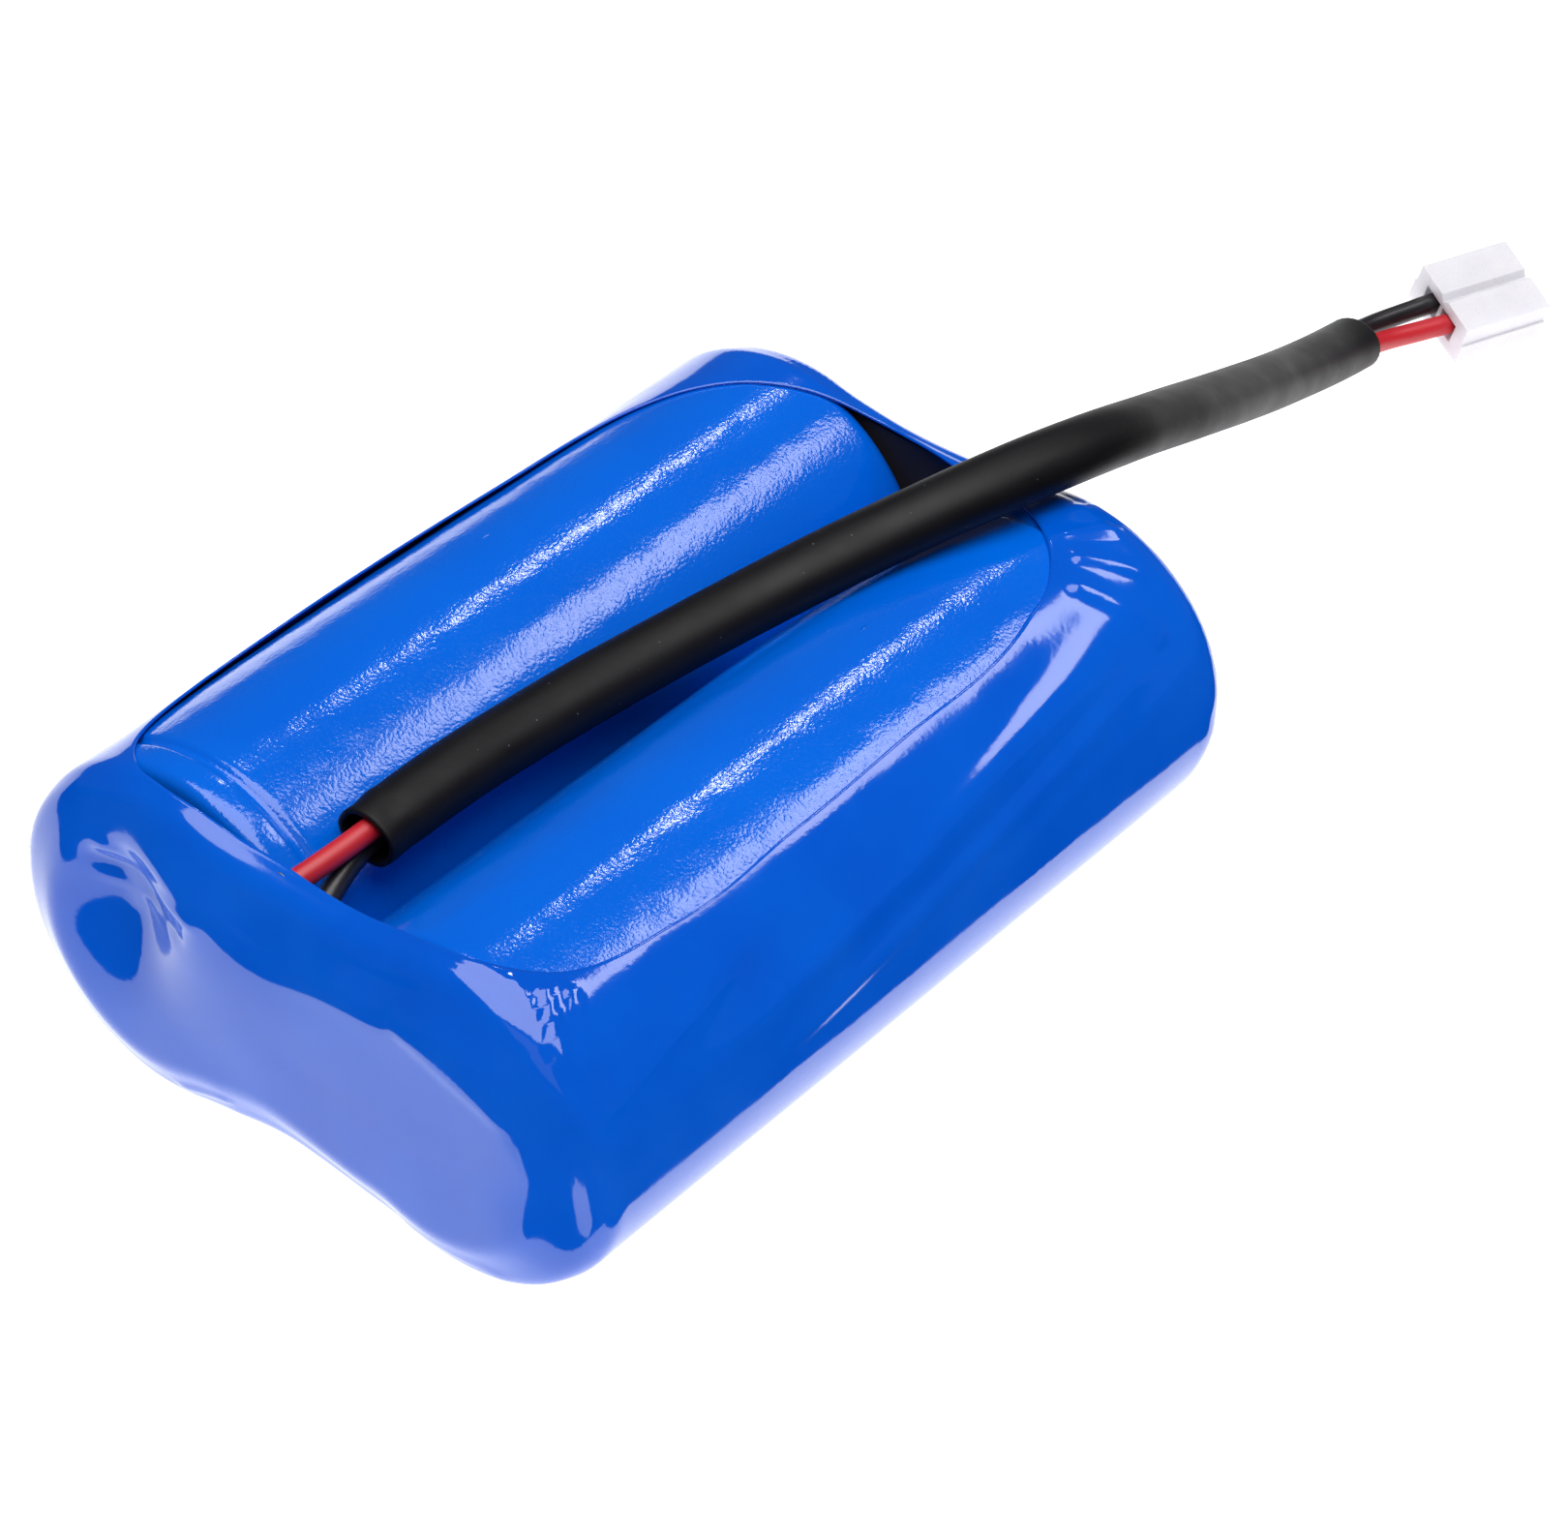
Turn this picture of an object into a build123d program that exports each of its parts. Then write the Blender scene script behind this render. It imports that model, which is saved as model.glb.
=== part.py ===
import math
import os

from build123d import *

os.makedirs("parts", exist_ok=True)

# Two 26650 lithium cells lie side by side and head to tail in a shrunk band of blue film.
# +X runs along the cells, +Y across them, +Z up. The origin is under the pack's middle.

# cell can
can_diameter = 26.0
can_wall = 0.25
can_base = 0.30
can_corner = 0.8
cell_length = 65.3
nub_height = 0.9
nub_diameter = 10.0
lip_width = 1.7
bead_from_top = 3.8
bead_depth = 1.0
bead_width = 1.3

# what the can holds
winding_gap = 0.15
winding_bore = 3.5
head_space = 1.3
disc_thickness = 0.25
gasket_wall = 0.45
plate_thickness = 0.40
cap_wall = 0.35
vent_hole_diameter = 1.4
tab_thickness = 0.12
tab_width = 4.0

# cell jacket and washer
jacket_wall = 0.12
jacket_fold = 2.6
jacket_crease = 0.35
washer_thickness = 0.15
washer_bore = 13.0
slip = 0.02

# outer film
film_wall = 0.18
film_corner = 1.0
film_waist = 1.4
film_waist_below = 2.9
film_lean = 16.0
end_clearance = 0.14
rim_near = 0.9
rim_far = 3.0
rim_left = 5.5
rim_right = 6.9
rim_below_ends = 3.8
rim_below_sides = 7.5
opening_corner = 8.5

# strips, papers and glue
strip_thickness = 0.15
strip_width = 3.0
link_width = 8.0
weld_diameter = 1.6
weld_spacing = 3.2
paper_thickness = 0.50
paper_inset = 0.75
glue_length = 46.0
glue_height = 3.0
glue_depth = 2.0

# lead
wire_diameter = 1.7
sleeve_diameter = 4.8
sleeve_wall = 0.40
solder_diameter = 2.5
lead_inset = 0.51
lead_root = (1.2, 22.2)
laid_length = 67.6
laid_height = 26.68
laid_from = 22.0
lead_points = [
    (-27.8, 1.5, 23.6),
    (-20.0, 1.6, 24.3),
    (-8.0, 1.4, 23.9),
    (4.0, -0.5, 24.4),
    (15.2, -3.9, 26.1),
    (22.4, -7.4, 28.0),
    (29.4, -10.6, 29.3),
    (37.6, -11.9, 28.5),
    (48.2, -10.2, 24.1),
    (61.9, -6.9, 17.2),
    (75.5, -3.3, 10.3),
    (86.5, -0.6, 5.3),
    (93.4, 0.2, 3.4),
    (98.6, -1.8, 3.3),
    (102.57, -3.39, 3.3),
]
strand_spread = [1.9] + [0.93] * 12 + [1.1, 1.25, 1.25]
strand_roll = [135] + [95 - 114 * step / 14 for step in range(15)]
sleeve_start = 0.24
sleeve_end = 0.62

# plug: two ways at 2.5 mm
way_pitch = 2.5
plug_length = 8.4
plug_width = 7.4
plug_height = 4.2
plug_flange_height = 2.3
plug_flange_step = 0.2
plug_groove_width = 1.0
plug_groove_depth = 0.6
cavity_size = 2.1
contact_size = 1.7
contact_bore = 1.0
contact_length = 5.0
wire_entry = 2.6
contact_gap = 0.05
plug_roll = 18.95

# sizes that follow from the ones above
can_radius = can_diameter / 2
jacket_radius = can_radius + slip + jacket_wall
film_inner = jacket_radius + slip
film_radius = film_inner + film_wall
axis_height = film_radius
axis_offset = jacket_radius + slip
base_x = -cell_length / 2
cap_x = cell_length / 2
crimp_x = cap_x - nub_height
bead_x = cap_x - bead_from_top
strip_start = cell_length / 2 + 2 * slip + jacket_wall
pack_length = 2 * (strip_start + strip_thickness + slip + paper_thickness + end_clearance + film_wall)
pack_width = 2 * (axis_offset + film_radius)
opening_near = pack_length / 2 - rim_near
opening_far = pack_length / 2 - rim_far
opening_left = pack_width / 2 - rim_left
opening_right = pack_width / 2 - rim_right
underside_length = pack_length - 2 * rim_below_ends
underside_width = pack_width - 2 * rim_below_sides


def settled(x, y, z):
    # the route was laid over a pack of the laid sizes: it moves out with the pack's ends and up with
    # its top, and its free end stays on the floor
    over = max(-1.0, min(1.0, 2 * x / laid_length))
    floor = lead_points[-1][2]
    up = max(0.0, min(1.0, (z - floor) / (laid_from - floor)))
    return (
        x + over * (pack_length - laid_length) / 2,
        y,
        z + up * (2 * axis_height - laid_height),
    )


root_x = lead_inset - strip_start
root_z = lead_root[1] + 2 * axis_height - laid_height
lead_route = [(root_x, lead_root[0], root_z)] + [settled(*place) for place in lead_points]


def save(part, name):
    part.label = name
    export_step(part, f"parts/{name}.step")


def base_corner(grow):
    # the two ends of the can's bevelled base corner, moved outwards by grow
    shift = grow * math.tan(math.radians(22.5))
    return [
        (base_x - grow, can_radius - can_corner + shift),
        (base_x + can_corner - shift, can_radius + grow),
    ]


def crimp_corner(top, grow):
    # the same at the crimped end
    shift = grow * math.tan(math.radians(22.5))
    return [
        (top - can_corner + shift, can_radius + grow),
        (top + grow, can_radius - can_corner + shift),
    ]


def turned(plane, points):
    # closed profile turned about the cell's own axis
    with BuildPart() as ring:
        with BuildSketch(plane):
            with BuildLine():
                Polyline(*points, close=True)
            make_face()
        revolve(axis=Axis(plane.origin, plane.x_dir))
    return ring.part


def disc(plane, start, thickness, radius, bore=0.0):
    # flat round piece across the cell's axis, with a bore where bore isn't 0
    return turned(plane, [
        (start, bore),
        (start, radius),
        (start + thickness, radius),
        (start + thickness, bore),
    ])


def make_cell(name, plane):
    half_bead = bead_width / 2
    floor_x = base_x + can_base
    winding_start = base_x + can_corner + can_wall
    winding_stop = bead_x - half_bead - head_space
    seat_x = bead_x + half_bead + can_wall

    # steel can: base, wall, bead groove and the lip crimped over the seal
    save(turned(plane, [
        (base_x, 0),
        *base_corner(0),
        (bead_x - half_bead, can_radius),
        (bead_x - half_bead / 2, can_radius - bead_depth),
        (bead_x + half_bead / 2, can_radius - bead_depth),
        (bead_x + half_bead, can_radius),
        *crimp_corner(crimp_x, 0),
        (crimp_x, can_radius - lip_width),
        (crimp_x - can_wall, can_radius - lip_width),
        *reversed(crimp_corner(crimp_x, -can_wall)),
        (bead_x + half_bead + can_wall / 2, can_radius - can_wall),
        (bead_x + half_bead / 2 + can_wall / 2, can_radius - bead_depth - can_wall),
        (bead_x - half_bead / 2 - can_wall / 2, can_radius - bead_depth - can_wall),
        (bead_x - half_bead - can_wall / 2, can_radius - can_wall),
        *reversed(base_corner(-can_wall)),
        (floor_x, can_radius - can_corner - can_wall),
        (floor_x, 0),
    ]), f"{name}_can")

    # wound electrodes around an open core
    winding_radius = can_radius - can_wall - winding_gap
    save(disc(plane, winding_start, winding_stop - winding_start, winding_radius, winding_bore / 2),
         f"{name}_winding")

    # insulating discs below and above the winding
    disc_radius = can_radius - can_wall - can_corner
    base_disc_x = winding_start - disc_thickness - slip
    save(disc(plane, base_disc_x, disc_thickness, disc_radius, winding_bore / 2),
         f"{name}_base_insulator")
    save(disc(plane, winding_stop + slip, disc_thickness, winding_radius, tab_width),
         f"{name}_top_insulator")

    # moulded seal ring, held between the bead and the lip
    ring_outer = can_radius - can_wall - slip
    ring_inner = ring_outer - gasket_wall
    ring_lip = can_radius - lip_width - gasket_wall
    ring_top = crimp_x - can_wall - slip
    save(turned(plane, [
        (seat_x, ring_lip),
        (seat_x, ring_outer),
        (ring_top - can_corner, ring_outer),
        (ring_top, ring_outer - can_corner),
        (ring_top, ring_lip),
        (ring_top - gasket_wall, ring_lip),
        (ring_top - gasket_wall, ring_inner - can_corner),
        (seat_x + gasket_wall, ring_inner - can_corner),
        (seat_x + gasket_wall, ring_lip),
    ]), f"{name}_gasket")

    # aluminium vent disc, with the steel cap on it
    plate_radius = ring_inner - can_corner - slip
    vent_x = seat_x + gasket_wall + slip
    save(disc(plane, vent_x, plate_thickness, plate_radius), f"{name}_vent_disc")
    cap_start = vent_x + plate_thickness + slip
    nub_radius = nub_diameter / 2
    with BuildPart() as cap:
        with BuildSketch(plane):
            with BuildLine():
                Polyline(
                    (cap_start, nub_radius - cap_wall),
                    (cap_start, plate_radius),
                    (cap_start + cap_wall, plate_radius),
                    (cap_start + cap_wall, nub_radius + cap_wall),
                    (cap_x, nub_radius),
                    (cap_x, 0),
                    (cap_x - cap_wall, 0),
                    (cap_x - cap_wall, nub_radius - cap_wall),
                    close=True,
                )
            make_face()
        revolve(axis=Axis(plane.origin, plane.x_dir))
        # vent holes through the flange, round the nub
        vent_plane = Plane(
            origin=plane.origin + plane.x_dir * (cap_start - slip),
            x_dir=plane.y_dir,
            z_dir=plane.x_dir,
        )
        with BuildSketch(vent_plane):
            with PolarLocations(nub_radius + vent_hole_diameter / 2 + cap_wall, 4, start_angle=45):
                Circle(vent_hole_diameter / 2)
        extrude(amount=2 * cap_wall, mode=Mode.SUBTRACT)
    save(cap.part, f"{name}_cap")

    # foil tabs that carry the current out of the winding
    tab_length = vent_x - winding_stop - 2 * slip
    with BuildPart() as plus_tab:
        with BuildSketch(plane):
            with Locations((winding_stop + slip + tab_length / 2, winding_bore / 2 + tab_thickness)):
                Rectangle(tab_length, tab_thickness)
        extrude(amount=tab_width / 2, both=True)
    save(plus_tab.part, f"{name}_plus_tab")
    with BuildPart() as minus_tab:
        with BuildSketch(plane):
            with Locations((floor_x + slip + tab_thickness / 2, disc_radius / 2)):
                Rectangle(tab_thickness, disc_radius)
        extrude(amount=tab_width / 2, both=True)
    save(minus_tab.part, f"{name}_minus_tab")

    # paper washer over the crimp, and the jacket shrunk over all of it
    washer_x = crimp_x + slip
    save(disc(plane, washer_x, washer_thickness, can_radius - can_corner, washer_bore / 2),
         f"{name}_washer")
    jacket_top = washer_x + washer_thickness
    crease = bead_width / 2 - 2 * slip
    inside = can_radius + slip
    fold_radius = can_radius - jacket_fold
    save(turned(plane, [
        (base_x - slip - jacket_wall, fold_radius),
        *base_corner(slip + jacket_wall),
        (bead_x - crease, jacket_radius),
        (bead_x, jacket_radius - jacket_crease),
        (bead_x + crease, jacket_radius),
        *crimp_corner(jacket_top, slip + jacket_wall),
        (jacket_top + slip + jacket_wall, fold_radius),
        (jacket_top + slip, fold_radius),
        *reversed(crimp_corner(jacket_top, slip)),
        (bead_x + crease, inside),
        (bead_x, inside - jacket_crease),
        (bead_x - crease, inside),
        *reversed(base_corner(slip)),
        (base_x - slip, fold_radius),
    ]), f"{name}_jacket")


# cell a, at +Y, points its cap to -X; cell b, at -Y, points its cap to +X
make_cell("cell_a", Plane(origin=(0, axis_offset, axis_height), x_dir=(-1, 0, 0), z_dir=(0, 1, 0)))
make_cell("cell_b", Plane(origin=(0, -axis_offset, axis_height), x_dir=(1, 0, 0), z_dir=(0, -1, 0)))

# bead of hot glue in the lower groove between the cells
with BuildPart() as glue_bead:
    with BuildSketch(Plane.YZ.offset(-glue_length / 2)):
        with Locations((0, axis_height - glue_depth - glue_height / 2)):
            Rectangle(glue_height, glue_height)
        with Locations((axis_offset, axis_height), (-axis_offset, axis_height)):
            Circle(jacket_radius + slip, mode=Mode.SUBTRACT)
    extrude(amount=glue_length)
save(glue_bead.part, "glue_bead")


# lead: two insulated strands that turn about each other along one route
def strand_points(side):
    points = []
    for index, place in enumerate(lead_route):
        before = Vector(*lead_route[max(index - 1, 0)])
        after = Vector(*lead_route[min(index + 1, len(lead_route) - 1)])
        along = (after - before).normalized() if index else Vector(1, 0, 0)
        across = along.cross(Vector(0, 0, 1)).normalized()
        above = across.cross(along)
        roll = math.radians(strand_roll[index])
        reach = side * strand_spread[index]
        points.append(Vector(*place) + across * (reach * math.cos(roll)) + above * (reach * math.sin(roll)))
    return points


def bend_radii(points):
    radii = []
    for before, corner, after in zip(points, points[1:], points[2:]):
        turn = math.radians((corner - before).get_angle(after - corner))
        shorter = min((corner - before).length, (after - corner).length)
        radii.append(0.45 * shorter / math.tan(turn / 2))
    return radii


def tube(name, points, radii, outer, bore=0.0):
    # round tube along straight runs and tangent arcs
    with BuildPart() as run:
        with BuildLine() as route:
            FilletPolyline(*points, radius=radii)
        path = route.wire()
        with BuildSketch(Plane(origin=path @ 0, z_dir=path % 0)):
            Circle(outer / 2)
            if bore:
                Circle(bore / 2, mode=Mode.SUBTRACT)
        sweep(path=path)
    section = math.pi * (outer ** 2 - bore ** 2) / 4
    print(name, "length", round(path.length, 1), "least radius", round(min(radii), 1),
          "volume ratio", round(run.part.volume / (section * path.length), 4))
    print(name, "radii", [round(radius) for radius in radii])
    save(run.part, name)


red_points = strand_points(1)
black_points = strand_points(-1)
tube("red_wire", red_points, bend_radii(red_points), wire_diameter)
tube("black_wire", black_points, bend_radii(black_points), wire_diameter)

# shrink sleeve over both strands, from the pack's near end almost to the plug
centre_points = [Vector(*place) for place in lead_route]
sleeve_first = centre_points[1] + (centre_points[2] - centre_points[1]) * sleeve_start
sleeve_last = centre_points[12] + (centre_points[13] - centre_points[12]) * sleeve_end
sleeve_points = [sleeve_first] + centre_points[2:13] + [sleeve_last]
tube("lead_sleeve", sleeve_points, bend_radii(centre_points)[1:12], sleeve_diameter,
     sleeve_diameter - 2 * sleeve_wall)


# nickel strips: welded to the cells, and soldered to the strands in the groove's near end
def strip(name, end, start, stop, width, welds):
    # end is -1 at the near face and 1 at the far one; start, stop and welds are (y, z)
    reach = math.hypot(stop[0] - start[0], stop[1] - start[1])
    lean = math.degrees(math.atan2(stop[1] - start[1], stop[0] - start[0]))
    weld_height = strip_start - cell_length / 2
    face_x = strip_start if end > 0 else -strip_start - strip_thickness
    weld_x = cell_length / 2 if end > 0 else -strip_start
    with BuildPart() as nickel:
        with BuildSketch(Plane.YZ.offset(face_x)):
            with Locations(((start[0] + stop[0]) / 2, (start[1] + stop[1]) / 2)):
                SlotCenterToCenter(reach, width, rotation=lean)
        extrude(amount=strip_thickness)
        with BuildSketch(Plane.YZ.offset(weld_x)):
            with Locations(*welds):
                with GridLocations(weld_spacing, weld_spacing, 1, 2):
                    Circle(weld_diameter / 2)
        extrude(amount=weld_height)
    save(nickel.part, name)


cell_a_centre = (axis_offset, axis_height)
cell_b_centre = (-axis_offset, axis_height)
red_end = (red_points[0].Y, red_points[0].Z)
black_end = (black_points[0].Y, black_points[0].Z)
strip("positive_strip", -1, cell_a_centre, red_end, strip_width, [cell_a_centre])
strip("negative_strip", -1, cell_b_centre, black_end, strip_width, [cell_b_centre])
strip("series_link", 1, cell_b_centre, cell_a_centre, link_width, [cell_a_centre, cell_b_centre])


# solder between each strand's end and its strip
def solder(name, points):
    along = (points[1] - points[0]).normalized()
    depth = strip_start + points[0].X + wire_diameter / 2
    with BuildPart() as joint:
        with BuildSketch(Plane(origin=points[0], z_dir=along)):
            Circle(wire_diameter / 2)
        with BuildSketch(Plane(origin=points[0] - along * depth, z_dir=along)):
            Circle(solder_diameter / 2)
        loft()
        split(bisect_by=Plane.YZ.offset(-strip_start), keep=Keep.TOP)
    save(joint.part, name)


solder("red_solder", red_points)
solder("black_solder", black_points)


# outline across the pack: two round flanks and a dipped bridge above and below
def pack_outline(plane, inset):
    radius = film_radius - inset
    lean = math.radians(film_lean)
    side = axis_offset - radius * math.sin(lean)
    rise = radius * math.cos(lean)
    waist = film_radius - film_waist - inset
    waist_below = film_radius - film_waist_below - inset
    drop = (math.cos(lean), math.sin(lean))
    with BuildSketch(plane) as outline:
        with BuildLine():
            Spline(
                (side, axis_height + rise),
                (0, axis_height + waist),
                (-side, axis_height + rise),
                tangents=[(-drop[0], -drop[1]), (-drop[0], drop[1])],
            )
            ThreePointArc(
                (-side, axis_height + rise),
                (-axis_offset - radius, axis_height),
                (-side, axis_height - rise),
            )
            Spline(
                (-side, axis_height - rise),
                (0, axis_height - waist_below),
                (side, axis_height - rise),
                tangents=[(drop[0], drop[1]), (drop[0], -drop[1])],
            )
            ThreePointArc(
                (side, axis_height - rise),
                (axis_offset + radius, axis_height),
                (side, axis_height + rise),
            )
        make_face()
    return outline.sketch


def pack_block(length, inset, corner):
    # the pack's solid envelope, moved inwards by inset
    with BuildPart() as block:
        extrude(pack_outline(Plane.YZ.offset(-length / 2), inset), amount=length)
        ends = block.edges().group_by(Axis.X)
        fillet(ends[0] + ends[-1], radius=corner)
    return block.part


# insulating paper over each end's strips
for paper_name, paper_x in (
    ("near_end_paper", -strip_start - strip_thickness - slip - paper_thickness),
    ("far_end_paper", strip_start + strip_thickness + slip),
):
    with BuildPart() as paper:
        extrude(pack_outline(Plane.YZ.offset(paper_x), film_wall + paper_inset), amount=paper_thickness)
    save(paper.part, paper_name)

# shrunk film: a band round the sides and ends, open over the cells above and below
film_block = pack_block(pack_length, 0, film_corner)
film_hollow = pack_block(pack_length - 2 * film_wall, film_wall, film_corner - film_wall)
with BuildPart() as outer_film:
    add(film_block)
    add(film_hollow, mode=Mode.SUBTRACT)
    with BuildSketch(Plane.XY.offset(axis_height)):
        with Locations(((opening_far - opening_near) / 2, (opening_left - opening_right) / 2)):
            RectangleRounded(opening_far + opening_near, opening_left + opening_right, opening_corner)
    extrude(amount=film_radius + slip, mode=Mode.SUBTRACT)
    with BuildSketch(Plane.XY.offset(axis_height)):
        RectangleRounded(underside_length, underside_width, opening_corner)
    extrude(amount=-film_radius - slip, mode=Mode.SUBTRACT)
save(outer_film.part, "outer_film")

# plug: its rear stands wire_entry behind the strands' ends, and it leans on its lower edge
plug_along = (centre_points[-1] - centre_points[-2]).normalized()
plug_up = Vector(0, 0, 1).rotate(Axis((0, 0, 0), plug_along), plug_roll)
plug_origin = centre_points[-1] - plug_along * wire_entry - plug_up * (plug_height / 2)
plug_plane = Plane(origin=plug_origin, x_dir=plug_along, z_dir=plug_up)
rear_plane = Plane(origin=plug_origin, x_dir=plug_plane.y_dir, z_dir=plug_along)
half_width = plug_width / 2
half_groove = plug_groove_width / 2
with BuildPart() as plug_housing:
    with BuildSketch(rear_plane):
        with BuildLine():
            Polyline(
                (-half_width - plug_flange_step, 0),
                (-half_width - plug_flange_step, plug_flange_height),
                (-half_width, plug_flange_height),
                (-half_width, plug_height),
                (-half_groove, plug_height),
                (0, plug_height - plug_groove_depth),
                (half_groove, plug_height),
                (half_width, plug_height),
                (half_width, plug_flange_height),
                (half_width + plug_flange_step, plug_flange_height),
                (half_width + plug_flange_step, 0),
                close=True,
            )
        make_face()
    extrude(amount=plug_length)
    long_edges = plug_housing.edges().filter_by(lambda edge: abs(edge.length - plug_length) < slip)
    fillet(long_edges, radius=plug_flange_step * 0.45)
    with BuildSketch(rear_plane):
        with Locations((0, plug_height / 2)):
            with GridLocations(way_pitch, 1, 2, 1):
                Rectangle(cavity_size, cavity_size)
    extrude(amount=plug_length, mode=Mode.SUBTRACT)
save(plug_housing.part, "plug_housing")

# crimped contacts: each meets its strand's end inside the plug
for contact_name, contact_side in (("red_contact", -1), ("black_contact", 1)):
    with BuildPart() as contact:
        with BuildSketch(rear_plane.offset(wire_entry + contact_gap)):
            with Locations((contact_side * way_pitch / 2, plug_height / 2)):
                Rectangle(contact_size, contact_size)
        extrude(amount=contact_length)
        with BuildSketch(rear_plane.offset(wire_entry + 1)):
            with Locations((contact_side * way_pitch / 2, plug_height / 2)):
                Rectangle(contact_bore, contact_bore)
        extrude(amount=contact_length, mode=Mode.SUBTRACT)
    save(contact.part, contact_name)
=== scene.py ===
# Two cylindrical cells in a blue shrink film, with a sleeved lead and a small white plug.
import math

import bmesh
import bpy
from mathutils import Matrix, Vector, noise


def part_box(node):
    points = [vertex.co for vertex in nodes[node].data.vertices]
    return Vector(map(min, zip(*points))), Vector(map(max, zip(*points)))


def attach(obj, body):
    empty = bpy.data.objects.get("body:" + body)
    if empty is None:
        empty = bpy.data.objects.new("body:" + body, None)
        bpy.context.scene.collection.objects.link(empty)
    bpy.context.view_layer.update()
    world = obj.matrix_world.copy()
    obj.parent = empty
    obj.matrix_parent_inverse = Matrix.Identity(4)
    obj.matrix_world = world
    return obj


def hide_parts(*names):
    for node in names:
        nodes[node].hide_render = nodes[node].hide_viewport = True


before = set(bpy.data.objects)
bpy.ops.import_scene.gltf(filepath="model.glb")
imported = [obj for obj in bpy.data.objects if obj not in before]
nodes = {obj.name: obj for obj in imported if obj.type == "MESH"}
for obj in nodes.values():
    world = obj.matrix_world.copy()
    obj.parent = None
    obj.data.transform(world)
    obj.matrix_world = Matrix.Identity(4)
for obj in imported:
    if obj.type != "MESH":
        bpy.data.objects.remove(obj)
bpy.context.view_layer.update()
mm = 0.001
print("frame loaded:", len(nodes), "nodes")


def linear(hexColour):
    values = [int(hexColour[i:i + 2], 16) / 255 for i in (1, 3, 5)]
    return tuple(v / 12.92 if v <= 0.04045 else ((v + 0.055) / 1.055) ** 2.4 for v in values) + (1.0,)


def addNode(tree, kind, settings=None, links=None):
    node = tree.nodes.new(kind)
    for key, value in (settings or {}).items():
        if isinstance(key, int) or key in node.inputs:
            node.inputs[key].default_value = value
        else:
            setattr(node, key, value)
    for key, source in (links or {}).items():
        tree.links.new(source, node.inputs[key])
    return node


def newFinish(name, values):
    finish = bpy.data.materials.new(name)
    finish.use_nodes = True
    tree = finish.node_tree
    shader = tree.nodes["Principled BSDF"]
    for key, value in values.items():
        shader.inputs[key].default_value = value
    finish.diffuse_color = values["Base Color"]
    place = addNode(tree, "ShaderNodeTexCoord").outputs["Object"]
    return finish, tree, shader, place


def addCloud(tree, place, size, detail):
    # noise in cells of the given size in mm
    return addNode(tree, "ShaderNodeTexNoise", {"Scale": 1 / (size * mm), "Detail": detail},
                   {"Vector": place}).outputs["Fac"]


def blendColours(tree, shader, first, second, share):
    tone = addNode(tree, "ShaderNodeMix", {"data_type": "RGBA", 6: linear(first), 7: linear(second)},
                   {0: share})
    tree.links.new(tone.outputs[2], shader.inputs["Base Color"])


def varyRoughness(tree, shader, middle, below, above, share, span=0.4):
    haze = addNode(tree, "ShaderNodeMapRange", {
        "From Min": 0.5 - span / 2, "From Max": 0.5 + span / 2,
        "To Min": middle - below, "To Max": middle + above}, {"Value": share})
    tree.links.new(haze.outputs["Result"], shader.inputs["Roughness"])


def addBump(tree, height, strength, distance, over=None):
    # distance in mm, laid over the normal of an earlier bump
    links = {"Height": height, "Normal": over} if over else {"Height": height}
    return addNode(tree, "ShaderNodeBump", {"Strength": strength, "Distance": distance * mm},
                   links).outputs["Normal"]


def addSpots(tree, place, spacing, inner, outer):
    # small round spots: one at inner, nothing past outer, both as shares of the spacing
    cells = addNode(tree, "ShaderNodeTexVoronoi", {"Scale": 1 / (spacing * mm), "Randomness": 1.0},
                    {"Vector": place})
    return addNode(tree, "ShaderNodeMapRange", {
        "From Min": inner, "From Max": outer, "To Min": 1.0, "To Max": 0.0},
        {"Value": cells.outputs["Distance"]}).outputs["Result"]


filmLook = {"deep": "#0049BC", "bright": "#005DD0", "roughness": 0.08, "cloud": 9, "peel": 0.45, "ripple": 7}


def filmFinish():
    # PVC shrink film, blown and heat-shrunk: glossy deep blue, hard-edged reflections that wander
    look = filmLook
    finish, tree, shader, place = newFinish("blue PVC shrink film", {
        "Base Color": linear(look["deep"]), "Roughness": look["roughness"], "IOR": 1.54,
        "Specular IOR Level": 0.5})
    cloud = addCloud(tree, place, look["cloud"], 3.0)
    blendColours(tree, shader, look["deep"], look["bright"], cloud)
    varyRoughness(tree, shader, look["roughness"], 0.03, 0.03, cloud)
    peel = addBump(tree, addCloud(tree, place, look["peel"], 2.0), 0.22, 0.02)  # orange peel
    ripple = addBump(tree, addCloud(tree, place, look["ripple"], 1.0), 0.6, 0.12, peel)
    tree.links.new(ripple, shader.inputs["Normal"])
    return finish


wrapLook = {"body": "#0059CC", "light": "#0066DA", "roughness": 0.12, "cloud": 14, "grain": 0.27,
            "line": 0.9, "line stretch": 0.04, "speck": 2.6, "speck stretch": 0.24}


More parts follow.
